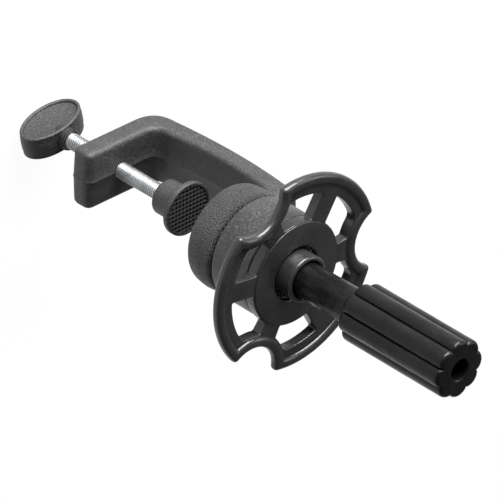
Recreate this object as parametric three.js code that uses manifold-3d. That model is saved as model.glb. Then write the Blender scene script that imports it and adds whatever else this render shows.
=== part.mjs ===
// Table clamp with a ball-jointed, ribbed holder post.
// Millimetres, +Z up along the post and the thumb screw. The origin is on that axis, in the
// plane of the fixed jaw: the flat underside of the round boss, which rests on a table top.
// The clamp's spine stands on the -X side and its throat opens towards +X.

import * as THREE from 'three';
import { mergeVertices } from 'three/addons/utils/BufferGeometryUtils.js';
import Module from 'manifold-3d';

const wasm = await Module();
wasm.setup();

// ---------------------------------------------------------------- driving dimensions

const GAP = 0.3; // clearance between neighbouring pieces

const FRAME = {
  width: 23.2, // across Y
  armEndX: 16,
  armOuterZ: -63.6,
  armInnerZ: -53.7,
  spineOuterX: -25.6,
  spineInnerX: -17.2,
  spineBow: 1.9, // how far the spine bows away from the throat
  outerCornerRadius: 11.5,
  innerCornerRadius: 5.5,
  armEndRadius: 4,
  edgeRadius: 1.4,
  topRadius: 4,
  lugEndX: -10, // where the spine's top runs into the boss
  lugBottomZ: 1.5,
  screwHoleRadius: 3.5,
};

const BOSS = { radius: 20, height: 12.8, jawEdgeRadius: 3.6, topEdgeRadius: 2.2 };

const INSERT = { radius: 4.6, bottomZ: -61.1, topZ: -55.9, boreRadius: 3.25 };

const PIVOT = { nutFlats: 10, nutBottomZ: 5.6, nutTopZ: 10, screwRadius: 3, headRadius: 5.2 };

const HOUSING = {
  radius: 20,
  bottomZ: 13.8,
  shoulderZ: 32,
  neckRadius: 16.4, // outer radius of the threaded neck that carries the wheel
  neckTopZ: 34.6,
  cavityRadius: 13.5,
  floorZ: 16.4,
  edgeRadius: 1,
};

const WASHER = { radius: 6.4, thickness: 0.8 };

const WHEEL = {
  radius: 38.3,
  backZ: 33.9,
  frontZ: 37.8,
  webZ: 34.9, // underside of the web that closes the threaded bore
  ribZ: 32.4, // lower side of the deep web behind the rim
  ribInset: 2.6, // from the wheel's outline to the deep web
  scallops: 3,
  firstScallopDeg: -61,
  scallopFloorRadius: 28.8,
  scallopHalfAngleDeg: 17,
  rimWidth: 4.2,
  recessDepth: 1.2,
  holeRadius: 10.2,
  windowInnerRadius: 20.4,
  windowOuterRadius: 30.6,
  windowInset: 4.8, // from the wheel's outline to the windows
  lobeSpokeShiftDeg: [-7, 0, 0], // each lobe's spoke, from the middle of its lobe
  lobeSpokeWidth: 8,
  scallopSpokeWidth: 8,
  edgeRadius: 1.3,
};

const BALL = { radius: 10.2, centreZ: 30.6 };

const SLEEVE = {
  radius: 9,
  topZ: 42.7,
  lipRadius: 7.4,
  lipDepth: 3.4,
  boreRadius: 6.9,
  tenonBore: 5.3,
  tenonHoleBottomZ: 25.5,
};

const POST = {
  shoulderZ: 34.8,
  bottomRadius: 6.6,
  straightLength: 14,
  topRadius: 7,
  topZ: 68.4,
  tenonRadius: 5,
};

const POST_SCREW = { headRadius: 3.2, shankRadius: 1.5, headBottomZ: 20.9, headTopZ: 22.9, topZ: 31.5 };

const PLUG = {
  startZ: 68.7,
  endZ: 118.2,
  radius: 11.3,
  ribs: 8,
  grooveDepth: 1.6,
  endRadius: 1.4,
  spigotLength: 24, // how far the post reaches into the plug
  screwHoleDepth: 10, // bored into the end of the post
  recessRadius: 4,
};

const PLUG_SCREW = { headBottomZ: 105.8, headTopZ: 108, bottomZ: 84.5 };

const SCREW = { radius: 3.1, bottomZ: -91.4, tipCentreZ: -24, tipRadius: 4.2 };

const KNOB = {
  centreZ: -90.6,
  halfLength: 13.4, // across the screw
  halfHeight: 8.3, // along the screw
  thickness: 9.6,
  turnDeg: 13, // how far the knob is turned about the screw
  faceRecess: 0.8,
  beadWidth: 1.5,
  edgeRadius: 1.3,
  screwDepth: 9.5, // of the bored hole, from the top of the knob
};

const FERRULE = { radius: 4.3, stepRadius: 3.9, depth: 4.2, stepHeight: 1.2, height: 2.4 };

const FOOT = {
  faceZ: -18.5,
  backZ: -31,
  flangeRadius: 10.4,
  flangeThickness: 2.2,
  rimWidth: 0.8, // round the pad
  padSeatDepth: 1.3,
  cupRadius: 6.8,
  mouthRadius: 5.4,
  mouthDepth: 5.6,
  retainerInset: 2.2,
  retainerThickness: 2.4,
};

const SEGMENTS = { large: 64, medium: 40, small: 24 };

// ---------------------------------------------------------------- solids from three.js geometry

/** Turns a closed three.js geometry into a manifold solid with its faces pointing out. */
function solid(geometry) {
  const bare = geometry.clone();
  bare.deleteAttribute('normal');
  bare.deleteAttribute('uv');
  const merged = mergeVertices(bare, 1e-4);
  const points = merged.attributes.position.array;
  const index = merged.index.array;
  const triangles = [];
  for (let i = 0; i < index.length; i += 3) {
    const [a, b, c] = [index[i], index[i + 1], index[i + 2]];
    if (a !== b && b !== c && c !== a) triangles.push(a, b, c);
  }
  if (signedVolume(points, triangles) < 0) triangles.reverse();
  const mesh = new wasm.Mesh({
    numProp: 3,
    vertProperties: new Float32Array(points),
    triVerts: new Uint32Array(triangles),
  });
  return new wasm.Manifold(mesh);
}

function signedVolume(points, triangles) {
  const corner = (i) => new THREE.Vector3().fromArray(points, 3 * triangles[i]);
  let sum = 0;
  for (let i = 0; i < triangles.length; i += 3) {
    sum += corner(i).dot(corner(i + 1).cross(corner(i + 2))) / 6;
  }
  return sum;
}

/** A solid of revolution about Z, from a profile of [radius, z] pairs. */
function turned(profile, segments = SEGMENTS.medium) {
  const points = profile.map(([r, z]) => new THREE.Vector2(r, z));
  const geometry = new THREE.LatheGeometry(points, segments);
  geometry.rotateX(Math.PI / 2);
  return solid(geometry);
}

/** A plain round bar about Z. */
function bar(radius, z0, z1, segments = SEGMENTS.small) {
  return turned([[0, z0], [radius, z0], [radius, z1], [0, z1]], segments);
}

/** A round ring about Z. */
function ring(outer, inner, z0, z1, segments = SEGMENTS.medium) {
  return turned([[inner, z0], [outer, z0], [outer, z1], [inner, z1], [inner, z0]], segments);
}

/** A shape drawn in XY and raised from z0 to z1, with rounded edges if a bevel is given. */
function raised(shape, z0, z1, { bevel = 0, steps = 2, curveSegments = 6 } = {}) {
  const geometry = new THREE.ExtrudeGeometry(shape, {
    depth: z1 - z0 - 2 * bevel,
    bevelEnabled: bevel > 0,
    bevelThickness: bevel,
    bevelSize: bevel,
    bevelOffset: -bevel,
    bevelSegments: steps,
    curveSegments,
  });
  geometry.translate(0, 0, z0 + bevel);
  return solid(geometry);
}

/** Points of a quarter-round from angle a0 to a1, in degrees, about [r, z]. */
function roundCorner(r, z, radius, a0, a1, steps = 4) {
  return Array.from({ length: steps + 1 }, (_, i) => {
    const a = THREE.MathUtils.degToRad(a0 + ((a1 - a0) * i) / steps);
    return [r + radius * Math.cos(a), z + radius * Math.sin(a)];
  });
}

function material(color, roughness, metalness = 0) {
  return new THREE.MeshStandardMaterial({ color, roughness, metalness });
}

const MATERIALS = {
  nylon: material(0x2b2b2c, 0.6),
  gloss: material(0x161617, 0.35),
  zinc: material(0xc9cbcd, 0.3, 1),
  brass: material(0xb08d4a, 0.35, 1),
  rubber: material(0x151515, 0.9),
  white: material(0xd8d6cf, 0.6),
};

const assembly = new THREE.Group();

/** Adds one named piece, made from a manifold solid, to a group. */
function piece(name, body, look, group = assembly) {
  const { vertProperties, triVerts } = body.getMesh();
  const geometry = new THREE.BufferGeometry();
  geometry.setAttribute('position', new THREE.BufferAttribute(vertProperties, 3));
  geometry.setIndex(new THREE.BufferAttribute(triVerts, 1));
  geometry.computeVertexNormals();
  const mesh = new THREE.Mesh(geometry, look);
  mesh.name = name;
  group.add(mesh);
}

// ---------------------------------------------------------------- clamp frame

/** The C of the frame, drawn in X and Z: arm, bowed spine and the lug that joins the boss. */
function frameOutline() {
  const f = FRAME;
  const middleZ = f.armOuterZ / 2;
  const topZ = BOSS.height - 0.8;
  const outerBowX = f.spineOuterX - 2 * f.spineBow;
  const innerBowX = f.spineInnerX - 2 * f.spineBow;
  const outerFoot = [f.spineOuterX - 0.2, f.armOuterZ + f.outerCornerRadius];
  const innerFoot = [f.spineInnerX + 0.4, f.armInnerZ + f.innerCornerRadius];
  const s = new THREE.Shape();
  s.moveTo(f.armEndX - f.armEndRadius, f.armInnerZ);
  s.quadraticCurveTo(f.armEndX, f.armInnerZ, f.armEndX, f.armInnerZ - f.armEndRadius);
  s.lineTo(f.armEndX, f.armOuterZ + f.armEndRadius);
  s.quadraticCurveTo(f.armEndX, f.armOuterZ, f.armEndX - f.armEndRadius, f.armOuterZ);
  s.lineTo(f.spineOuterX + f.outerCornerRadius, f.armOuterZ);
  s.quadraticCurveTo(f.spineOuterX, f.armOuterZ, ...outerFoot);
  s.quadraticCurveTo(outerBowX, middleZ + 12, f.spineOuterX, topZ - f.topRadius);
  s.quadraticCurveTo(f.spineOuterX, topZ, f.spineOuterX + f.topRadius, topZ);
  s.lineTo(f.lugEndX, topZ);
  s.lineTo(f.lugEndX, f.lugBottomZ);
  s.lineTo(f.spineInnerX, f.lugBottomZ);
  s.quadraticCurveTo(innerBowX, middleZ + 8, ...innerFoot);
  s.quadraticCurveTo(innerFoot[0], f.armInnerZ, f.spineInnerX + f.innerCornerRadius, f.armInnerZ);
  s.closePath();
  return s;
}

/** The round boss: a puck with a flat jaw face below and round sides. */
function bossBody() {
  const { radius, height, jawEdgeRadius, topEdgeRadius } = BOSS;
  return turned([
    [0, 0],
    ...roundCorner(radius - jawEdgeRadius, jawEdgeRadius, jawEdgeRadius, -90, 0),
    ...roundCorner(radius - topEdgeRadius, height - topEdgeRadius, topEdgeRadius, 0, 90),
    [0, height],
  ], SEGMENTS.large);
}

function hexagon(acrossFlats) {
  const radius = acrossFlats / 2 / Math.cos(Math.PI / 6);
  const corners = Array.from({ length: 6 }, (_, i) => {
    const a = (i * Math.PI) / 3;
    return new THREE.Vector2(radius * Math.cos(a), radius * Math.sin(a));
  });
  return new THREE.Shape(corners);
}

function clampFrame() {
  const nutPocket = raised(hexagon(PIVOT.nutFlats + 2 * GAP), PIVOT.nutBottomZ - GAP, BOSS.height + 1);
  const insertPocket = bar(INSERT.radius + GAP, INSERT.bottomZ - GAP, INSERT.topZ + GAP);
  const screwHole = bar(FRAME.screwHoleRadius, FRAME.armOuterZ - 1, FRAME.armInnerZ + 1);
  return raised(frameOutline(), -FRAME.width / 2, FRAME.width / 2, { bevel: FRAME.edgeRadius })
    .rotate([90, 0, 0])
    .add(bossBody())
    .subtract(nutPocket)
    .subtract(insertPocket)
    .subtract(screwHole);
}

piece('clamp_frame', clampFrame(), MATERIALS.nylon);
piece(
  'arm_insert',
  ring(INSERT.radius, INSERT.boreRadius, INSERT.bottomZ, INSERT.topZ),
  MATERIALS.brass,
);
piece(
  'pivot_nut',
  raised(hexagon(PIVOT.nutFlats), PIVOT.nutBottomZ, PIVOT.nutTopZ)
    .subtract(bar(PIVOT.screwRadius + GAP, 0, BOSS.height)),
  MATERIALS.zinc,
);

// ---------------------------------------------------------------- swivel housing and its pivot

function swivelHousing() {
  const h = HOUSING;
  const shell = turned([
    [0, h.bottomZ],
    ...roundCorner(h.radius - h.edgeRadius, h.bottomZ + h.edgeRadius, h.edgeRadius, -90, 0, 3),
    ...roundCorner(h.radius - h.edgeRadius, h.shoulderZ - h.edgeRadius, h.edgeRadius, 0, 90, 3),
    [h.neckRadius, h.shoulderZ],
    [h.neckRadius, h.neckTopZ],
    [h.cavityRadius, h.neckTopZ],
    [h.cavityRadius, h.floorZ],
    [0, h.floorZ],
  ], SEGMENTS.large);
  return shell.subtract(bar(PIVOT.screwRadius + GAP, 0, h.floorZ + 1));
}

const washerTopZ = HOUSING.floorZ + GAP + WASHER.thickness;
const headBottomZ = washerTopZ + GAP;
const headTopZ = headBottomZ + 1.6;

/** The pivot screw: a low round head with a cross slot, and a plain shank. */
function pivotScrew() {
  const slot = new THREE.BoxGeometry(6, 1.2, 2);
  const across = solid(slot.clone().translate(0, 0, headTopZ));
  const along = solid(slot.clone().rotateZ(Math.PI / 2).translate(0, 0, headTopZ));
  return turned([
    [0, PIVOT.nutBottomZ + 0.5],
    [PIVOT.screwRadius, PIVOT.nutBottomZ + 0.5],
    [PIVOT.screwRadius, headBottomZ],
    [PIVOT.headRadius, headBottomZ],
    [PIVOT.headRadius, headTopZ - 0.8],
    [PIVOT.headRadius - 1, headTopZ],
    [0, headTopZ],
  ]).subtract(across).subtract(along);
}

/** The cup under the ball, hollowed to the ball's own curve. */
function ballSeat() {
  const outer = HOUSING.cavityRadius - GAP;
  const blank = ring(outer, WASHER.radius + 0.6, HOUSING.floorZ + GAP, BALL.centreZ - 1);
  return blank.subtract(ballBlank(BALL.radius + GAP));
}

function ballBlank(radius) {
  const sphere = new THREE.SphereGeometry(radius, SEGMENTS.small, SEGMENTS.small / 2);
  sphere.rotateX(Math.PI / 2);
  sphere.translate(0, 0, BALL.centreZ);
  return solid(sphere);
}

piece('friction_ring', ring(17, 8, BOSS.height + GAP, HOUSING.bottomZ - GAP), MATERIALS.rubber);
piece('swivel_housing', swivelHousing(), MATERIALS.nylon);
piece(
  'spring_washer',
  ring(WASHER.radius, PIVOT.screwRadius + GAP, HOUSING.floorZ + GAP, washerTopZ),
  MATERIALS.zinc,
);
piece('pivot_screw', pivotScrew(), MATERIALS.zinc);
piece('ball_seat', ballSeat(), MATERIALS.white);

// ---------------------------------------------------------------- pressure ring and lock wheel

/** The ring that the wheel pushes down on the ball. */
function pressureRing() {
  const outer = HOUSING.cavityRadius - GAP;
  const blank = ring(outer, WHEEL.holeRadius, BALL.centreZ + 1.2, WHEEL.webZ - GAP);
  return blank.subtract(ballBlank(BALL.radius + GAP));
}

/** The bite that makes one finger scallop: its centre distance and radius. */
function scallopCircle() {
  const half = THREE.MathUtils.degToRad(WHEEL.scallopHalfAngleDeg);
  const [tipX, tipY] = [WHEEL.radius * Math.cos(half), WHEEL.radius * Math.sin(half)];
  const floor = WHEEL.scallopFloorRadius;
  const centre = (tipX ** 2 + tipY ** 2 - floor ** 2) / (2 * (tipX - floor));
  return { centre, radius: centre - floor };
}

const SCALLOP = scallopCircle();
const SCALLOP_STEP = (2 * Math.PI) / WHEEL.scallops;
const firstScallop = THREE.MathUtils.degToRad(WHEEL.firstScallopDeg);

/** The wheel's outline moved in by a distance: lobes of a circle, with a bite between each pair. */
function wheelOutline(inset = 0) {
  const radius = WHEEL.radius - inset;
  const bite = SCALLOP.radius + inset;
  const cosTip = (radius ** 2 + SCALLOP.centre ** 2 - bite ** 2) / (2 * radius * SCALLOP.centre);
  const tip = Math.acos(cosTip);
  const biteTip = Math.asin((radius * Math.sin(tip)) / bite);
  const shape = new THREE.Shape();
  for (let i = 0; i < WHEEL.scallops; i += 1) {
    const here = firstScallop + i * SCALLOP_STEP;
    const [x, y] = [SCALLOP.centre * Math.cos(here), SCALLOP.centre * Math.sin(here)];
    const back = here + Math.PI;
    shape.absarc(x, y, bite, back + biteTip, back - biteTip, true);
    shape.absarc(0, 0, radius, here + tip, here + SCALLOP_STEP - tip, false);
  }
  return shape;
}

/** One window, between a lobe's spoke and a scallop's spoke. */
function wheelWindow(lobe, side, shift) {
  const { lobeSpokeWidth, scallopSpokeWidth } = WHEEL;
  const outer = WHEEL.windowOuterRadius;
  const inner = WHEEL.windowInnerRadius;
  const from = (radius) => lobe + shift + side * Math.asin(lobeSpokeWidth / 2 / radius);
  const to = (radius) => lobe + side * (SCALLOP_STEP / 2 - Math.asin(scallopSpokeWidth / 2 / radius));
  const shape = new THREE.Shape();
  shape.absarc(0, 0, inner, from(inner), to(inner), side < 0);
  shape.absarc(0, 0, outer, to(outer), from(outer), side > 0);
  shape.closePath();
  return shape;
}

function lockWheel() {
  const w = WHEEL;
  const through = [w.ribZ - 1, w.frontZ + 1];
  const arcs = { curveSegments: 12 };
  let body = raised(wheelOutline(), w.backZ, w.frontZ, { bevel: w.edgeRadius, ...arcs });
  body = body.subtract(raised(wheelOutline(w.rimWidth), w.frontZ - w.recessDepth, w.frontZ + 1, arcs));
  body = body.add(raised(wheelOutline(w.ribInset), w.ribZ, w.frontZ - w.recessDepth, arcs));
  const insideRim = raised(wheelOutline(w.windowInset), ...through, arcs);
  for (let i = 0; i < w.scallops; i += 1) {
    const lobe = firstScallop + (i + 0.5) * SCALLOP_STEP;
    const shift = THREE.MathUtils.degToRad(w.lobeSpokeShiftDeg[i]);
    for (const side of [-1, 1]) {
      const opening = raised(wheelWindow(lobe, side, shift), ...through, { curveSegments: 5 });
      body = body.subtract(opening.intersect(insideRim));
    }
  }
  const thread = bar(HOUSING.neckRadius + GAP, w.ribZ - 1, w.webZ, SEGMENTS.large);
  return body.subtract(thread).subtract(bar(w.holeRadius, ...through, SEGMENTS.medium));
}

piece('pressure_ring', pressureRing(), MATERIALS.white);
piece('lock_wheel', lockWheel(), MATERIALS.gloss);

// ---------------------------------------------------------------- ball, post and ribbed plug

/** The ball with its rounded sleeve, bored for the post and for the screw that holds it. */
function ballSleeve() {
  const s = SLEEVE;
  const lip = (s.radius - s.lipRadius) / 2;
  const seatZ = POST.shoulderZ - GAP;
  const sleeve = turned([
    [0, BALL.centreZ],
    [s.radius, BALL.centreZ],
    ...roundCorner(s.lipRadius + lip, s.topZ - lip, lip, 0, 180, 6),
    [s.lipRadius, s.topZ - s.lipDepth],
    [s.boreRadius, s.topZ - s.lipDepth - 0.2],
    [s.boreRadius, seatZ],
    [s.tenonBore, seatZ],
    [0, seatZ],
  ]);
  return ballBlank(BALL.radius)
    .subtract(bar(s.radius - 0.5, seatZ, s.topZ))
    .add(sleeve)
    .subtract(bar(s.tenonBore, s.tenonHoleBottomZ, POST.shoulderZ + 1))
    .subtract(bar(POST_SCREW.headRadius + GAP, 0, POST_SCREW.headTopZ + GAP))
    .subtract(bar(POST_SCREW.shankRadius + GAP, 0, POST.shoulderZ));
}

const spigotTopZ = PLUG.startZ + PLUG.spigotLength;

/** The neck between the ball and the plug, with a tenon at the bottom and a spigot at the top. */
function post() {
  const p = POST;
  const tenonBottomZ = SLEEVE.tenonHoleBottomZ + GAP;
  const pilotRadius = POST_SCREW.shankRadius + GAP;
  return turned([
    [0, tenonBottomZ],
    [p.tenonRadius, tenonBottomZ],
    [p.tenonRadius, p.shoulderZ],
    [p.bottomRadius, p.shoulderZ],
    [p.bottomRadius, p.shoulderZ + p.straightLength],
    [p.topRadius, p.topZ],
    [p.tenonRadius, p.topZ],
    [p.tenonRadius, spigotTopZ],
    [0, spigotTopZ],
  ])
    .subtract(bar(pilotRadius, tenonBottomZ - 1, POST_SCREW.topZ + 1))
    .subtract(bar(pilotRadius, spigotTopZ - PLUG.screwHoleDepth, spigotTopZ + 1));
}

/** The plug's section: broad round ribs with a narrow groove between each pair. */
function plugSection() {
  const stepsPerRib = 8;
  const steps = PLUG.ribs * stepsPerRib;
  const points = Array.from({ length: steps }, (_, i) => {
    const a = (2 * Math.PI * i) / steps;
    const crown = Math.abs(Math.cos((PLUG.ribs * a) / 2)) ** 0.6;
    const radius = PLUG.radius - PLUG.grooveDepth * (1 - crown);
    return new THREE.Vector2(radius * Math.cos(a), radius * Math.sin(a));
  });
  return new THREE.Shape(points);
}

function ribbedPlug() {
  const { startZ, endZ, endRadius, recessRadius } = PLUG;
  return raised(plugSection(), startZ, endZ, { bevel: endRadius })
    .subtract(bar(POST.tenonRadius + GAP, startZ - 1, spigotTopZ + GAP))
    .subtract(bar(POST_SCREW.shankRadius + GAP, startZ, endZ))
    .subtract(bar(recessRadius, PLUG_SCREW.headBottomZ - GAP, endZ + 1));
}

/** A screw with its head down and its shank up, to a given end. */
function screwPointingUp({ headRadius, shankRadius, headBottomZ, headTopZ, topZ }) {
  return turned([
    [0, headBottomZ],
    [headRadius - 0.5, headBottomZ],
    [headRadius, headTopZ],
    [shankRadius, headTopZ],
    [shankRadius, topZ],
    [0, topZ],
  ]);
}

/** The same kind of screw with its head up and its shank down. */
function screwPointingDown({ headRadius, shankRadius }, { headBottomZ, headTopZ, bottomZ }) {
  return turned([
    [0, bottomZ],
    [shankRadius, bottomZ],
    [shankRadius, headBottomZ],
    [headRadius, headBottomZ],
    [headRadius - 0.5, headTopZ],
    [0, headTopZ],
  ]);
}

piece('ball_sleeve', ballSleeve(), MATERIALS.gloss);
piece('post_screw', screwPointingUp(POST_SCREW), MATERIALS.zinc);
piece('post', post(), MATERIALS.gloss);
piece('ribbed_plug', ribbedPlug(), MATERIALS.gloss);
piece('plug_screw', screwPointingDown(POST_SCREW, PLUG_SCREW), MATERIALS.zinc);

// ---------------------------------------------------------------- thumb screw

const knobTopZ = KNOB.centreZ + KNOB.halfHeight;
const ferruleBottomZ = knobTopZ - FERRULE.depth + GAP;

/** An oval drawn in XY, long across the screw. */
function oval(halfLength, halfHeight) {
  const shape = new THREE.Shape();
  shape.absellipse(0, 0, halfLength, halfHeight, 0, 2 * Math.PI, false, 0);
  return shape;
}

/** The knob: a thick oval with a raised bead round a sunk face on both sides. */
function thumbKnob() {
  const k = KNOB;
  const half = k.thickness / 2;
  const arcs = { curveSegments: 16 };
  const blank = raised(oval(k.halfLength, k.halfHeight), -half, half, { bevel: k.edgeRadius, ...arcs });
  const sunk = oval(k.halfLength - k.beadWidth, k.halfHeight - k.beadWidth);
  const upright = blank
    .subtract(raised(sunk, half - k.faceRecess, half + 1, arcs))
    .subtract(raised(sunk, -half - 1, k.faceRecess - half, arcs))
    .rotate([90, 0, 0])
    .rotate([0, 0, k.turnDeg])
    .translate([0, 0, k.centreZ]);
  return upright
    .subtract(bar(SCREW.radius + GAP, knobTopZ - k.screwDepth, knobTopZ + 1))
    .subtract(bar(FERRULE.radius + GAP, knobTopZ - FERRULE.depth, knobTopZ + 1));
}

/** The two-step ferrule where the screw enters the knob. */
function knobFerrule() {
  const bore = SCREW.radius + GAP;
  const { radius, stepRadius, stepHeight, height } = FERRULE;
  return turned([
    [bore, ferruleBottomZ],
    [radius, ferruleBottomZ],
    [radius, knobTopZ + stepHeight],
    [stepRadius, knobTopZ + stepHeight],
    [stepRadius, knobTopZ + height],
    [bore, knobTopZ + height],
    [bore, ferruleBottomZ],
  ]);
}

/** A ball at the screw's tip, of a given radius. */
function tipSphere(radius) {
  const sphere = new THREE.SphereGeometry(radius, SEGMENTS.small, SEGMENTS.small / 2);
  sphere.rotateX(Math.PI / 2);
  sphere.translate(0, 0, SCREW.tipCentreZ);
  return solid(sphere);
}

piece('thumb_knob', thumbKnob(), MATERIALS.nylon);
piece('knob_ferrule', knobFerrule(), MATERIALS.gloss);
piece(
  'threaded_rod',
  bar(SCREW.radius, SCREW.bottomZ, SCREW.tipCentreZ - SCREW.tipRadius - GAP),
  MATERIALS.zinc,
);
piece('tip_ball', tipSphere(SCREW.tipRadius), MATERIALS.zinc);

// ---------------------------------------------------------------- swivel foot

/** The foot: a cup for the screw's tip, and a flange with a shallow seat for the pad. */
function footCup() {
  const f = FOOT;
  const flangeBack = f.faceZ - f.flangeThickness;
  const padSeatZ = f.faceZ - f.padSeatDepth;
  const padRadius = f.flangeRadius - f.rimWidth;
  const blank = turned([
    [0, f.backZ],
    [f.cupRadius - 0.6, f.backZ],
    [f.cupRadius, f.backZ + 0.6],
    [f.cupRadius, flangeBack - 2],
    [f.flangeRadius - 1.2, flangeBack - 0.2],
    [f.flangeRadius, flangeBack + 0.6],
    [f.flangeRadius, f.faceZ],
    [padRadius, f.faceZ],
    [padRadius, padSeatZ],
    [0, padSeatZ],
  ]);
  const hollow = SCREW.tipRadius + GAP;
  return blank
    .subtract(tipSphere(hollow))
    .subtract(bar(f.mouthRadius, f.backZ - 1, f.backZ + f.mouthDepth))
    .subtract(bar(hollow, f.backZ, SCREW.tipCentreZ));
}

/** The ring in the cup's mouth that keeps the ball in. */
function footRetainer() {
  const f = FOOT;
  const low = f.backZ + f.retainerInset;
  return ring(f.mouthRadius - GAP, SCREW.radius + 0.8, low, low + f.retainerThickness);
}

piece('foot_cup', footCup(), MATERIALS.nylon);
piece(
  'foot_pad',
  bar(FOOT.flangeRadius - FOOT.rimWidth - GAP, FOOT.faceZ - 1, FOOT.faceZ, SEGMENTS.medium),
  MATERIALS.rubber,
);
piece('foot_retainer', footRetainer(), MATERIALS.zinc);

export default assembly;
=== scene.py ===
"""Table clamp with a ball-jointed holder post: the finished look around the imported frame.

Shapes are given in millimetres, and the mesh helpers turn them into metres. The camera, the lights and
the floor are in metres, unless a name ends in MM.
"""
import math

import bmesh
import bpy
from mathutils import Matrix, Vector


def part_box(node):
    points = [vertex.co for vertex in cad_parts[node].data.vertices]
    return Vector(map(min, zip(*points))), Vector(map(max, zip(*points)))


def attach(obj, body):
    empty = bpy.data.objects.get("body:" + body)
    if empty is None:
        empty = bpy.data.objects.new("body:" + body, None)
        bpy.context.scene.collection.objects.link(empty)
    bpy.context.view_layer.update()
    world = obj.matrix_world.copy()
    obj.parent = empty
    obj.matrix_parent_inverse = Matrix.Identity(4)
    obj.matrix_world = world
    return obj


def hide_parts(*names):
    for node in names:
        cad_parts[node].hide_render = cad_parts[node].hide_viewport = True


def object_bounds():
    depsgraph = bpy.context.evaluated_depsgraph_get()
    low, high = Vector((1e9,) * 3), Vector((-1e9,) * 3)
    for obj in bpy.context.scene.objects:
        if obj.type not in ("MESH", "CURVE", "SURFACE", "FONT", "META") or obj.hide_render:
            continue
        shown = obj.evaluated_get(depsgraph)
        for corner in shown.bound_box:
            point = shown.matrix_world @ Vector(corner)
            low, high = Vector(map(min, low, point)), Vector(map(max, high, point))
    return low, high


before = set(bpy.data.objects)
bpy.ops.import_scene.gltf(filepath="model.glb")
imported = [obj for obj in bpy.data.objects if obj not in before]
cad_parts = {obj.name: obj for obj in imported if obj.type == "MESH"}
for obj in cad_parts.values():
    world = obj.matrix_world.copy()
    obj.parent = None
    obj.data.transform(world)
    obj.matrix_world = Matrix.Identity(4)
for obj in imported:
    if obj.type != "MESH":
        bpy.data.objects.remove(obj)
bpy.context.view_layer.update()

MM = 0.001
TURN = 2 * math.pi


# ---------------------------------------------------------------- sizes, from the frame

def box_mm(node):
    """Lowest and highest corners of a CAD node, in millimetres."""
    low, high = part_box(node)
    return Vector(low) / MM, Vector(high) / MM


FRAME_LOW, FRAME_HIGH = box_mm("clamp_frame")
HOUSING_LOW, HOUSING_HIGH = box_mm("swivel_housing")
WHEEL_LOW, WHEEL_HIGH = box_mm("lock_wheel")
SLEEVE_LOW, SLEEVE_HIGH = box_mm("ball_sleeve")
POST_LOW, POST_HIGH = box_mm("post")
PLUG_LOW, PLUG_HIGH = box_mm("ribbed_plug")
ROD_LOW, ROD_HIGH = box_mm("threaded_rod")
FERRULE_LOW, FERRULE_HIGH = box_mm("knob_ferrule")
KNOB_LOW, KNOB_HIGH = box_mm("thumb_knob")
FOOT_LOW, FOOT_HIGH = box_mm("foot_cup")
PAD_LOW, PAD_HIGH = box_mm("foot_pad")


# ---------------------------------------------------------------- mesh helpers

WELD = 1e-7  # metres, for a skin over rings
CURVE_WELD = 1e-6  # metres, for a skin made from a curve
SHARP_DEG = 32  # edges sharper than this stay crisp
LATHE_SEGMENTS = 128


def finish_mesh(name, mesh, weld):
    """A smooth object from a mesh, with its points welded and its faces turned outwards."""
    work = bmesh.new()
    work.from_mesh(mesh)
    bmesh.ops.remove_doubles(work, verts=work.verts, dist=weld)
    bmesh.ops.recalc_face_normals(work, faces=work.faces)
    work.to_mesh(mesh)
    work.free()
    mesh.name = name
    piece = bpy.data.objects.new(name, mesh)
    bpy.context.scene.collection.objects.link(piece)
    mesh.polygons.foreach_set("use_smooth", [True] * len(mesh.polygons))
    mesh.set_sharp_from_angle(angle=math.radians(SHARP_DEG))
    return piece


def loft(name, rings, capped=True):
    """A skin over closed rings that all have the same number of points."""
    count = len(rings[0])
    vertices = [Vector(point) * MM for ring in rings for point in ring]
    faces = []
    for level in range(len(rings) - 1):
        low, high = level * count, (level + 1) * count
        for i in range(count):
            j = (i + 1) % count
            faces.append((low + i, low + j, high + j, high + i))
    if capped:
        faces.append(tuple(range(count)))
        faces.append(tuple(range((len(rings) - 1) * count, len(rings) * count)))
    mesh = bpy.data.meshes.new(name)
    mesh.from_pydata(vertices, [], faces)
    return finish_mesh(name, mesh, WELD)


def ring_at(radius, z, count):
    """A level circle of points about Z."""
    return [(radius * math.cos(TURN * i / count), radius * math.sin(TURN * i / count), z)
            for i in range(count)]


def lathe(name, profile, closed=False):
    """A surface of revolution about Z from (radius, z) pairs. A closed profile gives a ring."""
    rings = [ring_at(radius, z, LATHE_SEGMENTS) for radius, z in profile]
    if closed:
        rings.append(rings[0])
    return loft(name, rings, capped=not closed)


def arc(r, z, radius, start_deg, end_deg, steps=8):
    """Points on a circular arc about (r, z)."""
    points = []
    for i in range(steps + 1):
        a = math.radians(start_deg + (end_deg - start_deg) * i / steps)
        points.append((r + radius * math.cos(a), z + radius * math.sin(a)))
    return points


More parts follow.
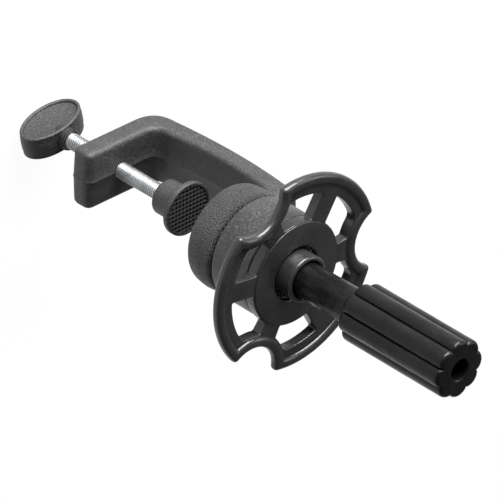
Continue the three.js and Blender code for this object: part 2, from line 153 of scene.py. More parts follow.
def plate(name, outlines, bottom, top, bevel, resolution=4):
    """A flat plate from closed outlines in XY, holes included, with rounded edges."""
    curve = bpy.data.curves.new(name, "CURVE")
    curve.dimensions = "2D"
    curve.fill_mode = "BOTH"
    curve.extrude = ((top - bottom) / 2 - bevel) * MM
    curve.bevel_depth = bevel * MM
    curve.bevel_resolution = resolution
    curve.offset = -bevel * MM
    for outline in outlines:
        spline = curve.splines.new("POLY")
        spline.points.add(len(outline) - 1)
        for point, (x, y) in zip(spline.points, outline):
            point.co = (x * MM, y * MM, 0, 1)
        spline.use_cyclic_u = True
    source = bpy.data.objects.new(name + "_source", curve)
    bpy.context.scene.collection.objects.link(source)
    graph = bpy.context.evaluated_depsgraph_get()
    mesh = bpy.data.meshes.new_from_object(source.evaluated_get(graph))
    bpy.data.objects.remove(source)
    bpy.data.curves.remove(curve)
    mesh.transform(Matrix.Translation((0, 0, (top + bottom) / 2 * MM)))
    return finish_mesh(name, mesh, CURVE_WELD)


def quadratic(start, control, end, steps=14):
    """Points on a quadratic curve, without its start."""
    points = []
    for i in range(1, steps + 1):
        t = i / steps
        a, b, c = (1 - t) ** 2, 2 * t * (1 - t), t * t
        points.append((a * start[0] + b * control[0] + c * end[0],
                       a * start[1] + b * control[1] + c * end[1]))
    return points


def inset(outline, distance):
    """A closed outline moved inwards, for an outline that runs anticlockwise."""
    moved = []
    count = len(outline)
    for i, (x, y) in enumerate(outline):
        before, after = outline[i - 1], outline[(i + 1) % count]
        along = Vector((after[0] - before[0], after[1] - before[1])).normalized()
        moved.append((x - along.y * distance, y + along.x * distance))
    return moved


def wrapped(angle):
    """An angle brought to within half a turn of zero."""
    return (angle + math.pi) % TURN - math.pi


# ---------------------------------------------------------------- materials

def node_material(name, slot):
    """An empty node material with its shader, and the object coordinates it is drawn in."""
    made = bpy.data.materials.new(name)
    made.use_nodes = True
    tree = made.node_tree
    shader = tree.nodes["Principled BSDF"]
    place = tree.nodes.new("ShaderNodeTexCoord").outputs["Object"]
    made["slot"] = slot
    return made, tree, shader, place


def noise(tree, place, scale, detail=2.0, roughness=0.5, stretch=None):
    """Fractal noise in object space; scale is in features per metre."""
    texture = tree.nodes.new("ShaderNodeTexNoise")
    texture.inputs["Scale"].default_value = scale
    texture.inputs["Detail"].default_value = detail
    texture.inputs["Roughness"].default_value = roughness
    source = place
    if stretch is not None:
        mapping = tree.nodes.new("ShaderNodeMapping")
        mapping.inputs["Scale"].default_value = stretch
        tree.links.new(place, mapping.inputs["Vector"])
        source = mapping.outputs["Vector"]
    tree.links.new(source, texture.inputs["Vector"])
    return texture.outputs["Fac"]


def ranged(tree, value, low, high, from_low=0.3, from_high=0.7):
    """A value spread over a new range, from the middle part of a noise."""
    spread = tree.nodes.new("ShaderNodeMapRange")
    spread.inputs["From Min"].default_value = from_low
    spread.inputs["From Max"].default_value = from_high
    spread.inputs["To Min"].default_value = low
    spread.inputs["To Max"].default_value = high
    tree.links.new(value, spread.inputs["Value"])
    return spread.outputs["Result"]


def blended(tree, factor, first, second):
    """A colour between two colours."""
    mix = tree.nodes.new("ShaderNodeMix")
    mix.data_type = "RGBA"
    mix.inputs["A"].default_value = (*first, 1)
    mix.inputs["B"].default_value = (*second, 1)
    tree.links.new(factor, mix.inputs["Factor"])
    return mix.outputs["Result"]


def bump(tree, shader, height, distance_mm, strength=1.0, under=None):
    """Adds a bump of a given depth, on top of one already made."""
    node = tree.nodes.new("ShaderNodeBump")
    node.inputs["Distance"].default_value = distance_mm * MM
    node.inputs["Strength"].default_value = strength
    tree.links.new(height, node.inputs["Height"])
    if under is not None:
        tree.links.new(under, node.inputs["Normal"])
    tree.links.new(node.outputs["Normal"], shader.inputs["Normal"])
    return node.outputs["Normal"]


DUST_GAIN = 3.2  # how much lighter dust is than the plastic under it


def grained_plastic(name, slot, dark, light, rough=(0.42, 0.58), grain_mm=0.9, depth_mm=0.3):
    """Satin moulded plastic: coarse spark grain, flow clouds, and dust caught on the high grains."""
    made, tree, shader, place = node_material(name, slot)
    clouds = noise(tree, place, scale=90, detail=3)
    grain = noise(tree, place, scale=1 / (grain_mm * MM), detail=3, roughness=0.7)
    waves = noise(tree, place, scale=260, detail=1)
    body = blended(tree, ranged(tree, clouds, 0, 1), dark, light)
    dusty = tree.nodes.new("ShaderNodeMix")
    dusty.data_type = "RGBA"
    dusty.inputs["B"].default_value = (*[DUST_GAIN * value for value in light], 1)
    tree.links.new(body, dusty.inputs["A"])
    tree.links.new(ranged(tree, grain, 0, 1, from_low=0.52, from_high=0.75), dusty.inputs["Factor"])
    tree.links.new(dusty.outputs["Result"], shader.inputs["Base Color"])
    tree.links.new(ranged(tree, grain, rough[0], rough[1]), shader.inputs["Roughness"])
    first = bump(tree, shader, waves, distance_mm=0.25, strength=0.25)
    bump(tree, shader, grain, depth_mm, under=first)
    return made


def gloss_plastic(name, slot, dark, light, rough=(0.2, 0.38), streak=(1, 1, 1), depth_mm=0.05,
                  sheen=0.5):
    """Polished black moulding with handling scratches and soft sink marks."""
    made, tree, shader, place = node_material(name, slot)
    clouds = noise(tree, place, scale=120, detail=3)
    scratches = noise(tree, place, scale=700, detail=4, roughness=0.7, stretch=streak)
    ripple = noise(tree, place, scale=170, detail=1)
    tree.links.new(blended(tree, ranged(tree, clouds, 0, 1), dark, light), shader.inputs["Base Color"])
    tree.links.new(ranged(tree, scratches, rough[0], rough[1]), shader.inputs["Roughness"])
    shader.inputs["Specular IOR Level"].default_value = sheen
    first = bump(tree, shader, ripple, distance_mm=0.5, strength=0.5)
    bump(tree, shader, scratches, depth_mm, strength=0.8, under=first)
    return made


def metal(name, slot, dark, light, rough=(0.18, 0.36)):
    """Plated or turned metal with fine tool marks."""
    made, tree, shader, place = node_material(name, slot)
    shader.inputs["Metallic"].default_value = 1.0
    marks = noise(tree, place, scale=1400, detail=2, roughness=0.6)
    patches = noise(tree, place, scale=160, detail=2)
    tree.links.new(blended(tree, ranged(tree, patches, 0, 1), dark, light), shader.inputs["Base Color"])
    tree.links.new(ranged(tree, marks, rough[0], rough[1]), shader.inputs["Roughness"])
    bump(tree, shader, marks, distance_mm=0.02, strength=0.5)
    return made


def rubber(name, slot, dark, light):
    """Dull rubber with a dusty bloom."""
    made, tree, shader, place = node_material(name, slot)
    dust = noise(tree, place, scale=500, detail=4, roughness=0.6)
    bloom = ranged(tree, dust, 0, 1, from_low=0.4, from_high=0.8)
    tree.links.new(blended(tree, bloom, dark, light), shader.inputs["Base Color"])
    tree.links.new(ranged(tree, dust, 0.7, 0.9), shader.inputs["Roughness"])
    bump(tree, shader, dust, distance_mm=0.05, strength=0.6)
    return made


FRAME_LOOK = grained_plastic(
    "frame_look", "frame_plastic", (0.014, 0.014, 0.0145), (0.022, 0.022, 0.0225),
    rough=(0.4, 0.6), grain_mm=0.7, depth_mm=0.25)
BOSS_LOOK = grained_plastic(
    "boss_look", "frame_plastic", (0.008, 0.008, 0.0083), (0.018, 0.018, 0.0185),
    rough=(0.3, 0.7), grain_mm=0.7, depth_mm=0.9)
HOUSING_LOOK = grained_plastic(
    "housing_look", "frame_plastic", (0.012, 0.012, 0.0125), (0.022, 0.022, 0.0225),
    rough=(0.34, 0.5), grain_mm=0.9, depth_mm=0.2)
# Painted light: the wheel's colour is set lighter than the plug's, though both are one plastic, to stand
# in for light that the wheel's face lacks. The knob's collar and the ball's sleeve share this look.
WHEEL_LOOK = gloss_plastic(
    "wheel_look", "gloss_plastic", (0.014, 0.014, 0.0144), (0.024, 0.024, 0.0245))
PLUG_LOOK = gloss_plastic(
    "plug_look", "gloss_plastic", (0.002, 0.002, 0.0021), (0.005, 0.005, 0.0052),
    rough=(0.14, 0.4), streak=(1, 1, 0.2), depth_mm=0.2, sheen=0.22)
ZINC_LOOK = metal(
    "zinc_look", "zinc_steel", (0.42, 0.43, 0.44), (0.60, 0.61, 0.62), rough=(0.34, 0.5))
BRASS_LOOK = metal("brass_look", "brass", (0.55, 0.40, 0.17), (0.66, 0.50, 0.24))
RUBBER_LOOK = rubber("rubber_look", "rubber", (0.006, 0.006, 0.006), (0.02, 0.02, 0.02))
SEAT_LOOK = grained_plastic("seat_look", "seat_plastic", (0.66, 0.65, 0.61), (0.74, 0.73, 0.69))


def finish_piece(piece, look, body, *nodes):
    """Gives a piece its material, slot and body, and hides the CAD nodes that it stands for."""
    piece.data.materials.clear()
    piece.data.materials.append(look)
    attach(piece, body)
    if nodes:
        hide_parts(*nodes)
    return piece


# ---------------------------------------------------------------- clamp frame

FRAME_WIDTH = 23.2
ARM_END_X = 16
ARM_INNER_Z = -53.7
ARM_END_RADIUS = 4
ARM_STEPS = 8
SPINE_OUTER_X = -25.6
SPINE_INNER_X = -17.2
SPINE_BOW = 1.9
SPINE_STEPS = 24
INNER_BOW_LIFT = 8  # how far above half the depth of the C the inside bows most
OUTER_BOW_LIFT = 12
INNER_LEAN = 0.4  # how far the foot of the spine's inside leans into the throat
OUTER_LEAN = 0.2
OUTER_CORNER = 11.5
INNER_CORNER = 5.5
TOP_RADIUS = 4
TOP_DROP = 0.8  # from the boss's top to the spine's
LUG_END_X = -10
LUG_BOTTOM_Z = 1.5
EDGE_ROUND = 2.1
DRAFT = 0.35  # how much narrower each moulded half is at its outside than at the parting line
DRAFT_SHARE = 0.4  # where the middle ring of each half lies
RIDGE_FOOT, RIDGE_FOOT_INSET = 0.45, 0.02
RIDGE_CREST, RIDGE_HEIGHT = 0.2, 0.14


def frame_outline():
    """The C of the frame in X and Z, anticlockwise."""
    arm_outer_z = FRAME_LOW.z
    middle_z = arm_outer_z / 2
    top_z = FRAME_HIGH.z - TOP_DROP
    arm_flat_x = ARM_END_X - ARM_END_RADIUS
    points = [(arm_flat_x, arm_outer_z)]
    points += quadratic(points[-1], (ARM_END_X, arm_outer_z), (ARM_END_X, arm_outer_z + ARM_END_RADIUS))
    points.append((ARM_END_X, ARM_INNER_Z - ARM_END_RADIUS))
    points += quadratic(points[-1], (ARM_END_X, ARM_INNER_Z), (arm_flat_x, ARM_INNER_Z))
    arm_run = arm_flat_x - SPINE_INNER_X - INNER_CORNER
    points += [(arm_flat_x - step * arm_run / ARM_STEPS, ARM_INNER_Z) for step in range(1, ARM_STEPS + 1)]
    corner_x = SPINE_INNER_X + INNER_LEAN
    points += quadratic(points[-1], (corner_x, ARM_INNER_Z), (corner_x, ARM_INNER_Z + INNER_CORNER))
    inner_bow = (SPINE_INNER_X - 2 * SPINE_BOW, middle_z + INNER_BOW_LIFT)
    points += quadratic(points[-1], inner_bow, (SPINE_INNER_X, LUG_BOTTOM_Z), SPINE_STEPS)
    points += [(LUG_END_X, LUG_BOTTOM_Z), (LUG_END_X, top_z)]
    points.append((SPINE_OUTER_X + TOP_RADIUS, top_z))
    points += quadratic(points[-1], (SPINE_OUTER_X, top_z), (SPINE_OUTER_X, top_z - TOP_RADIUS))
    outer_bow = (SPINE_OUTER_X - 2 * SPINE_BOW, middle_z + OUTER_BOW_LIFT)
    spine_foot = (SPINE_OUTER_X - OUTER_LEAN, arm_outer_z + OUTER_CORNER)
    points += quadratic(points[-1], outer_bow, spine_foot, SPINE_STEPS)
    corner_end = (SPINE_OUTER_X + OUTER_CORNER, arm_outer_z)
    points += quadratic(points[-1], (SPINE_OUTER_X, arm_outer_z), corner_end)
    return points


def frame_rings(outline):
    """The frame's outline at each depth: rounded edges, drafted halves and a thin parting ridge."""
    half = FRAME_WIDTH / 2
    levels = []
    for y, over in arc(half - EDGE_ROUND, 0, EDGE_ROUND, 0, 90, 5):
        levels.append((y, DRAFT + EDGE_ROUND - over))
    levels.append((half * DRAFT_SHARE, DRAFT * DRAFT_SHARE))
    levels += [(RIDGE_FOOT, RIDGE_FOOT_INSET), (RIDGE_CREST, -RIDGE_HEIGHT)]
    levels += [(-y, distance) for y, distance in reversed(levels)]
    return [[(x, y, z) for x, z in inset(outline, distance)] for y, distance in levels]


def build_frame():
    """The moulded C, and the round boss that carries the housing."""
    arm = loft("frame_c", frame_rings(frame_outline()))
    finish_piece(arm, FRAME_LOOK, "clamp", "clamp_frame")
    radius, height = FRAME_HIGH.y, FRAME_HIGH.z
    jaw_edge, top_edge, crown, swell = 3.6, 2.2, 0.35, 0.1
    boss = lathe("frame_boss", [
        (0, 0),
        *arc(radius - jaw_edge - crown, jaw_edge, jaw_edge, -90, -6),
        (radius - swell, height * 0.42),
        (radius, height * 0.5),
        (radius - swell, height * 0.6),
        *arc(radius - top_edge - crown, height - top_edge, top_edge, 6, 90),
        (0, height),
    ])
    finish_piece(boss, BOSS_LOOK, "clamp", "clamp_frame")


# ---------------------------------------------------------------- screw, knob and foot

THREAD_PITCH = 1.0
THREAD_DEPTH = 0.55
THREAD_SEGMENTS = 48
RINGS_PER_PITCH = 8
CREST_FLATTENING = 1.25


def build_thread():
    """The screw with a real helical thread."""
    low, high = ROD_LOW.z, ROD_HIGH.z
    levels = round((high - low) / THREAD_PITCH * RINGS_PER_PITCH)
    rings = []
    for level in range(levels + 1):
        z = low + (high - low) * level / levels
        ring = []
        for i in range(THREAD_SEGMENTS):
            phase = (z / THREAD_PITCH - i / THREAD_SEGMENTS) % 1
            wave = 0.5 + 0.5 * math.cos(TURN * phase)
            radius = ROD_HIGH.x - THREAD_DEPTH * (1 - min(1, wave * CREST_FLATTENING))
            a = TURN * i / THREAD_SEGMENTS
            ring.append((radius * math.cos(a), radius * math.sin(a), z))
        rings.append(ring)
    finish_piece(loft("screw_thread", rings), ZINC_LOOK, "screw", "threaded_rod")


KNOB_TURN_DEG = 13
KNOB_LENGTH = 13.4  # half length, across the screw
KNOB_HEIGHT = 8.3  # half height, along the screw
KNOB_THICKNESS = 9.6
KNOB_BEAD = 1.5
KNOB_SINK = 1.0  # how far the face lies below the bead
KNOB_SEGMENTS = 96


def knob_ring(shrink, y):
    """One oval ring of the knob, at a depth y, moved in by a distance."""
    ring = []
    for i in range(KNOB_SEGMENTS):
        a = TURN * i / KNOB_SEGMENTS
        ring.append(((KNOB_LENGTH - shrink) * math.cos(a), y, (KNOB_HEIGHT - shrink) * math.sin(a)))
    return ring


def build_knob():
    """A thick oval with a rounded bead round a sunk face on each side, and its collar on the screw."""
    half = KNOB_THICKNESS / 2
    bead = KNOB_BEAD / 2
    bead_centre = 0.2 + bead
    face = half - KNOB_SINK
    side = [(0.0, 0), (0.05, half * 0.45), (0.35, half - 1.1)]
    side += [(bead_centre - r, y) for r, y in arc(0, half - bead, bead, 20, 90, 4)]
    side += [(bead_centre - r, y) for r, y in arc(0, half - bead, bead, 110, 170, 4)]
    side += [(0.3 + KNOB_BEAD, half - 0.9), (0.8 + KNOB_BEAD, face), (KNOB_HEIGHT - 0.6, face)]
    rings = [knob_ring(shrink, y) for shrink, y in reversed(side)]
    rings += [knob_ring(shrink, -y) for shrink, y in side[1:]]
    knob = loft("knob_body", rings)
    centre_z = (KNOB_LOW.z + KNOB_HIGH.z) / 2
    turn = Matrix.Rotation(math.radians(KNOB_TURN_DEG), 4, "Z")
    knob.data.transform(Matrix.Translation((0, 0, centre_z * MM)) @ turn)
    finish_piece(knob, FRAME_LOOK, "screw", "thumb_knob")
    bottom, top = FERRULE_LOW.z, FERRULE_HIGH.z
    bore, radius, step = 3.2, 4.3, 3.9
    ferrule = lathe("knob_collar", [
        (bore, bottom), (radius, bottom), (radius, top - 1.1), (4.0, top - 0.8),
        (step, top - 0.8), (step, top - 0.2), (3.7, top), (bore, top),
    ], closed=True)
    finish_piece(ferrule, WHEEL_LOOK, "screw", "knob_ferrule")


def build_foot():
    """The cup and flange of the swivel foot, and its hatched pad."""
    face, back = FOOT_HIGH.z, FOOT_LOW.z
    flange, inside, floor = FOOT_HIGH.x, PAD_HIGH.x + 0.15, PAD_LOW.z - 0.2
    cup, mouth = 6.8, 5.2
    cup_round, flange_round, face_round = 1.2, 0.5, 0.35
    body = lathe("foot_body", [
        (mouth, back + 2), (mouth, back + 0.2),
        *arc(cup - cup_round, back + cup_round, cup_round, -90, 0, 5),
        (cup, face - 6.2),
        (cup + 0.3, face - 4.8),
        (flange - 1.4, face - 2.3),
        *arc(flange - flange_round, face - 1.8, flange_round, -60, 0, 4),
        *arc(flange - face_round, face - face_round, face_round, 0, 90, 4),
        (inside, face), (inside, floor), (2, floor), (mouth, back + 2),
    ], closed=True)
    finish_piece(body, FRAME_LOOK, "foot", "foot_cup")
    finish_piece(build_pad(), RUBBER_LOOK, "foot", "foot_pad")


STUD_DEPTH = 0.8
STUD_PITCH = 2.4
STUD_STEEPNESS = 2.2  # above 1, the studs get flat tops and flat gaps
PAD_RINGS = 56
PAD_SEGMENTS = 160
DIAGONAL = 1.414


def build_pad():
    """A disc whose face carries rows of small diamond studs."""
    radius, top, bottom = PAD_HIGH.x, PAD_HIGH.z, PAD_LOW.z
    rings = [ring_at(radius, bottom, PAD_SEGMENTS)]
    for level in range(PAD_RINGS):
        r = radius * (1 - level / PAD_RINGS)
        ring = []
        for x, y, _ in ring_at(r, top, PAD_SEGMENTS):
            along = math.cos(TURN * (x + y) / STUD_PITCH / DIAGONAL)
            across = math.cos(TURN * (x - y) / STUD_PITCH / DIAGONAL)
            height = max(-1, min(1, STUD_STEEPNESS * (along * across)))
            edge = 1 if level == 0 else 0.5 + 0.5 * height
            ring.append((x, y, top - STUD_DEPTH * (1 - edge)))
        rings.append(ring)
    return loft("foot_studs", rings)


# ---------------------------------------------------------------- housing, wheel and sleeve

def build_housing():
    """The turned cup under the wheel, with the neck that the wheel is threaded on."""
    radius, bottom, top = HOUSING_HIGH.x, HOUSING_LOW.z, HOUSING_HIGH.z
    wheel_gap, bottom_edge, shoulder_edge, floor_thickness = 0.4, 1.8, 1, 2.6
    shoulder, floor = WHEEL_LOW.z - wheel_gap, bottom + floor_thickness
    neck, cavity = 16.4, 13.5
    housing = lathe("housing_shell", [
        (0, bottom),
        *arc(radius - bottom_edge, bottom + bottom_edge, bottom_edge, -90, 0),
        *arc(radius - shoulder_edge, shoulder - shoulder_edge, shoulder_edge, 0, 90),
        (neck, shoulder), (neck, top), (cavity, top), (cavity, floor), (0, floor),
    ])
    finish_piece(housing, HOUSING_LOOK, "swivel", "swivel_housing")


WHEEL_RADIUS = 38.3
SCALLOPS = 3
FIRST_SCALLOP = math.radians(-61)
SCALLOP_FLOOR = 28.8
SCALLOP_HALF = math.radians(17)
RIM_WIDTH = 4.2
RIM_ROUND = 1.7
TIP_ROUND = 1.5
LEAST_TIP_ROUND = 0.3
TIP_STEPS, BITE_STEPS, LOBE_STEPS = 6, 24, 40
HUB_RADIUS = 20.3
HUB_HOLE = 10.2
WEB_HOLE = HUB_HOLE + 6.6
WINDOW_INNER = 20.4
WINDOW_OUTER = 30.6
WINDOW_INSET = 4.8
WINDOW_ROUND = 2.2
LOBE_SPOKE = 8
SCALLOP_SPOKE = 8
SPOKE_END = 22  # radius at which a scallop's spoke meets the rim
WINDOW_OUTER_STEPS, WINDOW_INNER_STEPS = 16, 8
SPOKE_SHIFT = [math.radians(-7), 0, 0]  # each lobe's spoke, from the middle of its lobe
STEP = TURN / SCALLOPS


def scallop_circle():
    """Centre distance and radius of the circle that bites each scallop."""
    tip_x, tip_y = WHEEL_RADIUS * math.cos(SCALLOP_HALF), WHEEL_RADIUS * math.sin(SCALLOP_HALF)
    centre = (tip_x ** 2 + tip_y ** 2 - SCALLOP_FLOOR ** 2) / (2 * (tip_x - SCALLOP_FLOOR))
    return centre, centre - SCALLOP_FLOOR


def wheel_outline(shift=0.0):
    """The wheel's outline moved in by a distance: round lobes with rounded tips at each scallop."""
    centre, bite = scallop_circle()
    lobe = WHEEL_RADIUS - shift
    bite = bite + shift
    tip = max(LEAST_TIP_ROUND, TIP_ROUND - shift)
    inner = lobe - tip
    outer = bite + tip
    cos_tip = (inner ** 2 + centre ** 2 - outer ** 2) / (2 * inner * centre)
    tip_angle = math.acos(cos_tip)
    points = []
    for i in range(SCALLOPS):
        here = FIRST_SCALLOP + i * STEP
        hub = Vector((centre * math.cos(here), centre * math.sin(here)))
        for side in (-1, 1):
            a = here + side * tip_angle
            pivot = Vector((inner * math.cos(a), inner * math.sin(a)))
            to_bite = hub - pivot
            bite_angle = math.atan2(to_bite.y, to_bite.x)
            sweep = wrapped(bite_angle - a)
            ends = (0, sweep) if side < 0 else (sweep, 0)
            for k in range(TIP_STEPS + 1):
                b = a + ends[0] + (ends[1] - ends[0]) * k / TIP_STEPS
                points.append((pivot.x + tip * math.cos(b), pivot.y + tip * math.sin(b)))
            if side < 0:
                back = math.atan2(-to_bite.y, -to_bite.x)
                middle = here + math.pi
                half = wrapped(middle - back)
                for k in range(1, BITE_STEPS):
                    b = back + 2 * half * k / BITE_STEPS
                    points.append((hub.x + bite * math.cos(b), hub.y + bite * math.sin(b)))
        start, end = here + tip_angle, here + STEP - tip_angle
        for k in range(1, LOBE_STEPS):
            b = start + (end - start) * k / LOBE_STEPS
            points.append((lobe * math.cos(b), lobe * math.sin(b)))
    return points


def outline_radius(angle, shift):
    """Distance from the axis to the wheel's outline, moved in by a distance."""
    centre, bite = scallop_circle()
    bite += shift
    radius = WHEEL_RADIUS - shift
    for i in range(SCALLOPS):
        off = wrapped(angle - FIRST_SCALLOP - i * STEP)
        reach = bite ** 2 - (centre * math.sin(off)) ** 2
        if abs(off) < math.pi / 2 and reach > 0:
            radius = min(radius, centre * math.cos(off) - math.sqrt(reach))
    return radius


def rounded_polygon(corners, radius, steps=5):
    """A closed outline with each corner replaced by a small curve."""
    points = []
    count = len(corners)
    for i, corner in enumerate(corners):
        here = Vector(corner)
        before = Vector(corners[i - 1]) - here
        after = Vector(corners[(i + 1) % count]) - here
        reach = min(radius, before.length * 0.45, after.length * 0.45)
        start = here + before.normalized() * reach
        end = here + after.normalized() * reach
        points.append(tuple(start))
        points += quadratic(start, here, end, steps)
    return points


def window_outline(lobe, side, shift):
    """One window between a lobe's spoke and a scallop's spoke, following the rim outside."""
    def spoke(radius):
        return lobe + shift + side * math.asin(LOBE_SPOKE / 2 / radius)

    def scallop_spoke(radius):
        return lobe + side * (STEP / 2 - math.asin(SCALLOP_SPOKE / 2 / radius))

    first, last = spoke(WINDOW_OUTER), scallop_spoke(SPOKE_END)
    outer = []
    for k in range(WINDOW_OUTER_STEPS + 1):
        a = first + (last - first) * k / WINDOW_OUTER_STEPS
        outer.append((a, min(WINDOW_OUTER, outline_radius(a, WINDOW_INSET))))
    first, last = scallop_spoke(WINDOW_INNER), spoke(WINDOW_INNER)
    inner = []
    for k in range(WINDOW_INNER_STEPS + 1):
        inner.append((first + (last - first) * k / WINDOW_INNER_STEPS, WINDOW_INNER))
    corners = [(r * math.cos(a), r * math.sin(a)) for a, r in outer + inner]
    if side < 0:
        corners.reverse()
    return rounded_polygon(corners, WINDOW_ROUND)


def circle(radius, count=120):
    """A circle of points in XY."""
    return [(x, y) for x, y, _ in ring_at(radius, 0, count)]


RIB_DEPTH = 1.5  # how far the web reaches behind the rim
RIB_INSET = 2.6  # how far the web's edge lies inside the rim's
WEB_SINK = 1.1  # from the rim's top to the web's
WEB_ROUND = 0.5


def build_wheel():
    """The hand wheel: a beaded rim that follows the scallops, a deep windowed web and a threaded hub."""
    back, high = WHEEL_LOW.z, WHEEL_HIGH.z
    low, web_top = back + RIB_DEPTH, high - WEB_SINK
    hub_low, groove = high - 2.6, web_top - 0.6
    outer_round, inner_round = 0.35, 1
    rim = plate("wheel_rim", [wheel_outline(), wheel_outline(RIM_WIDTH)], low, high, RIM_ROUND, 6)
    windows = [window_outline(FIRST_SCALLOP + (i + 0.5) * STEP, side, SPOKE_SHIFT[i])
               for i in range(SCALLOPS) for side in (-1, 1)]
    web_outlines = [wheel_outline(RIB_INSET), circle(WEB_HOLE), *windows]
    web = plate("wheel_web", web_outlines, back, web_top, WEB_ROUND)
    hub = lathe("wheel_hub", [
        (WEB_HOLE, groove), (HUB_RADIUS - 1, groove),
        *arc(HUB_RADIUS - 2 * outer_round, web_top, outer_round, 0, 90, 4),
        (HUB_HOLE + 2.2, web_top + outer_round),
        *arc(HUB_HOLE + inner_round, web_top - 0.7, inner_round, 90, 180, 6),
        (HUB_HOLE, hub_low), (WEB_HOLE, hub_low),
    ], closed=True)
    for part in (rim, web, hub):
        finish_piece(part, WHEEL_LOOK, "wheel", "lock_wheel")


def build_sleeve():
    """The ball's rounded sleeve, hollow round the neck."""
    bottom, top, ball = SLEEVE_LOW.z, SLEEVE_HIGH.z, SLEEVE_HIGH.x
    outer, lip, bore, tenon_bore, screw_bore = 9.0, 7.4, 6.9, 5.4, 3
    crown = (outer - lip) / 2 + 0.25
    leave = math.degrees(math.acos(outer / ball))
    sleeve = lathe("sleeve_body", [
        (screw_bore, bottom + 0.4),
        *arc(0, bottom + ball, ball, -70, leave, 24),
        *arc(outer - crown, top - crown, crown, 0, 150, 10),
        (lip - 0.1, top - 1.6), (lip - 0.3, top - 4), (bore, top - 4.4),
        (tenon_bore, top - 4.6), (tenon_bore, bottom + 6), (screw_bore, bottom + 6),
    ], closed=True)
    finish_piece(sleeve, WHEEL_LOOK, "ball", "ball_sleeve")


# ---------------------------------------------------------------- post and plug

def build_post():
    """The neck, with a tenon at each end."""
    low, high = POST_LOW.z, POST_HIGH.z
    shoulder, neck_top = SLEEVE_HIGH.z - 7.9, PLUG_LOW.z - 0.3
    tenon, neck, neck_end, straight = 5, 6.6, 6.9, 14
    post = lathe("post_neck", [
        (0, low), (tenon, low), (tenon, shoulder), (neck, shoulder), (neck, shoulder + straight),
        (neck_end, neck_top - 0.4), (neck, neck_top), (tenon, neck_top), (tenon, high), (0, high),
    ])
    finish_piece(post, PLUG_LOOK, "post", "post")


RIBS = 8
PLUG_RADIUS = 11.3
PLUG_EDGE = 1.6
PLUG_SEGMENTS = 256
PLUG_LEVELS = 12
GROOVE_DEPTH = 1.9
RIB_ROUNDNESS = 0.55  # the lower, the wider the ribs and the narrower the grooves
GROOVE_FADE = 9  # how far in the grooves die out on the ends
RECESS_RADIUS = 4.0
RECESS_DEPTH = 10


def plug_ring(z, shrink):
    """The plug's ribbed section at a height, moved in by a distance."""
    ring = []
    for i in range(PLUG_SEGMENTS):
        a = TURN * i / PLUG_SEGMENTS
        wave = abs(math.cos(RIBS * a / 2)) ** RIB_ROUNDNESS
        radius = PLUG_RADIUS - shrink - GROOVE_DEPTH * (1 - wave) * (1 - shrink / GROOVE_FADE)
        ring.append((radius * math.cos(a), radius * math.sin(a), z))
    return ring


def build_plug():
    """The ribbed plug, with a round recess in its end."""
    low, high = PLUG_LOW.z, PLUG_HIGH.z
    rings = [plug_ring(low, 5.5)]
    rings += [plug_ring(z, PLUG_EDGE - r) for r, z in arc(0, low + PLUG_EDGE, PLUG_EDGE, -90, 0, 6)]
    rings += [plug_ring(low + (high - low) * k / PLUG_LEVELS, 0) for k in range(1, PLUG_LEVELS)]
    rings += [plug_ring(z, PLUG_EDGE - r) for r, z in arc(0, high - PLUG_EDGE, PLUG_EDGE, 0, 90, 6)]
    recess = [
        (RECESS_RADIUS + 0.5, high), (RECESS_RADIUS, high - 0.5),
        (RECESS_RADIUS - 0.3, high - RECESS_DEPTH), (0.4, high - RECESS_DEPTH),
    ]
    rings += [ring_at(radius, z, PLUG_SEGMENTS) for radius, z in recess]
    finish_piece(loft("plug_body", rings), PLUG_LOOK, "post", "ribbed_plug")


# ---------------------------------------------------------------- carried-over CAD pieces

def dress_cad():
    """Gives the CAD pieces that are shown as they are their finished materials."""
    looks = {
        "arm_insert": BRASS_LOOK, "pivot_nut": ZINC_LOOK, "pivot_screw": ZINC_LOOK,
        "spring_washer": ZINC_LOOK, "friction_ring": RUBBER_LOOK, "ball_seat": SEAT_LOOK,
        "pressure_ring": SEAT_LOOK, "post_screw": ZINC_LOOK, "plug_screw": ZINC_LOOK,
        "tip_ball": ZINC_LOOK, "foot_retainer": ZINC_LOOK,
    }
    for node, look in looks.items():
        piece = bpy.data.objects[node]
        for slot in piece.material_slots:
            slot.material = look


# ---------------------------------------------------------------- stage, lights and camera

VIEW_AZIMUTH = 47.6  # degrees, as are the elevation and the roll
VIEW_ELEVATION = 36.9
VIEW_ROLL = 120.6
VIEW_DISTANCE = 2.5
VIEW_WIDTH_MM = 176.678445  # what the picture's width takes in at the object
AIM_RIGHT_MM, AIM_UP_MM = 9.13, -6.79  # from the origin to the middle of the picture
SENSOR_MM = 36
FLOOR_HALF_SIZE = 6.0
FLOOR_GREY = 0.06
FLOOR_GLOW = 0.95
WORLD_STRENGTH = 0.2


def view_axes():
    """Right, up and back of the camera, with its roll."""
    a, e, roll = (math.radians(v) for v in (VIEW_AZIMUTH, VIEW_ELEVATION, VIEW_ROLL))
    back = Vector((math.sin(a) * math.cos(e), -math.cos(a) * math.cos(e), math.sin(e)))
    level = Vector((0, 0, 1)).cross(back).normalized()
    above = back.cross(level)
    right = math.cos(roll) * level + math.sin(roll) * above
    return right, back.cross(right), back


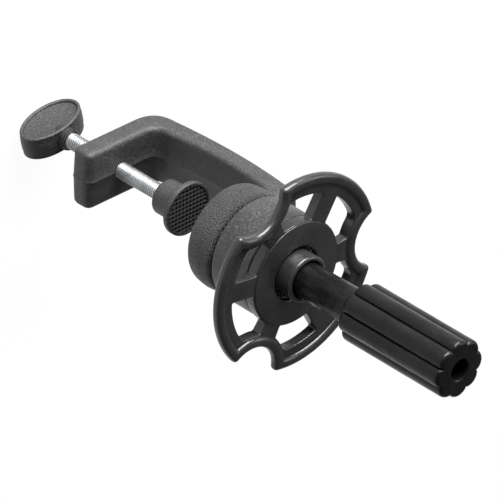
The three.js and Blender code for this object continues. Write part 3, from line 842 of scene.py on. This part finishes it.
def build_camera():
    """A long lens, so that the view is almost parallel, turned about its own axis by the roll."""
    right, up, back = view_axes()
    data = bpy.data.cameras.new("camera")
    data.sensor_width = SENSOR_MM
    data.lens = data.sensor_width * VIEW_DISTANCE / (VIEW_WIDTH_MM * MM)
    data.clip_end = 20
    camera = bpy.data.objects.new("camera", data)
    bpy.context.scene.collection.objects.link(camera)
    target = (right * AIM_RIGHT_MM + up * AIM_UP_MM) * MM
    turn = Matrix((right, up, back)).transposed()
    camera.matrix_world = Matrix.Translation(target + back * VIEW_DISTANCE) @ turn.to_4x4()
    bpy.context.scene.camera = camera


def build_floor():
    """A wide pale floor just under the lowest point."""
    size, z = FLOOR_HALF_SIZE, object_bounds()[0][2]
    mesh = bpy.data.meshes.new("floor")
    corners = [(x * size, y * size, z) for x, y in ((-1, -1), (1, -1), (1, 1), (-1, 1))]
    mesh.from_pydata(corners, [], [(0, 1, 2, 3)])
    floor = bpy.data.objects.new("floor", mesh)
    bpy.context.scene.collection.objects.link(floor)
    made = bpy.data.materials.new("floor_look")
    made.use_nodes = True
    shader = made.node_tree.nodes["Principled BSDF"]
    shader.inputs["Base Color"].default_value = (FLOOR_GREY, FLOOR_GREY, FLOOR_GREY, 1)
    shader.inputs["Roughness"].default_value = 0.8
    shader.inputs["Specular IOR Level"].default_value = 0.0
    shader.inputs["Emission Color"].default_value = (1, 1, 1, 1)
    shader.inputs["Emission Strength"].default_value = FLOOR_GLOW
    mesh.materials.append(made)


def area_light(name, direction, distance, size, power):
    """A square soft light that faces the object from a direction."""
    data = bpy.data.lights.new(name, "AREA")
    data.size = size
    data.energy = power
    light = bpy.data.objects.new(name, data)
    bpy.context.scene.collection.objects.link(light)
    towards = Vector(direction).normalized()
    light.location = towards * distance
    light.rotation_mode = "QUATERNION"
    light.rotation_quaternion = towards.to_track_quat("Z", "Y")


def build_lights():
    """A dim white world, a large key light and a weak rim light."""
    world = bpy.data.worlds.new("world")
    world.use_nodes = True
    background = world.node_tree.nodes["Background"]
    background.inputs["Color"].default_value = (1, 1, 1, 1)
    background.inputs["Strength"].default_value = WORLD_STRENGTH
    bpy.context.scene.world = world
    area_light("key", (-0.15, -1.0, 0.15), distance=1.1, size=0.9, power=60)
    area_light("rim", (-0.9, -0.35, 0.75), distance=1.2, size=0.6, power=4)
    bpy.context.scene.view_settings.view_transform = "Standard"


build_camera()
build_frame()
build_thread()
build_knob()
build_foot()
build_housing()
build_wheel()
build_sleeve()
build_post()
build_plug()
dress_cad()
build_floor()
build_lights()
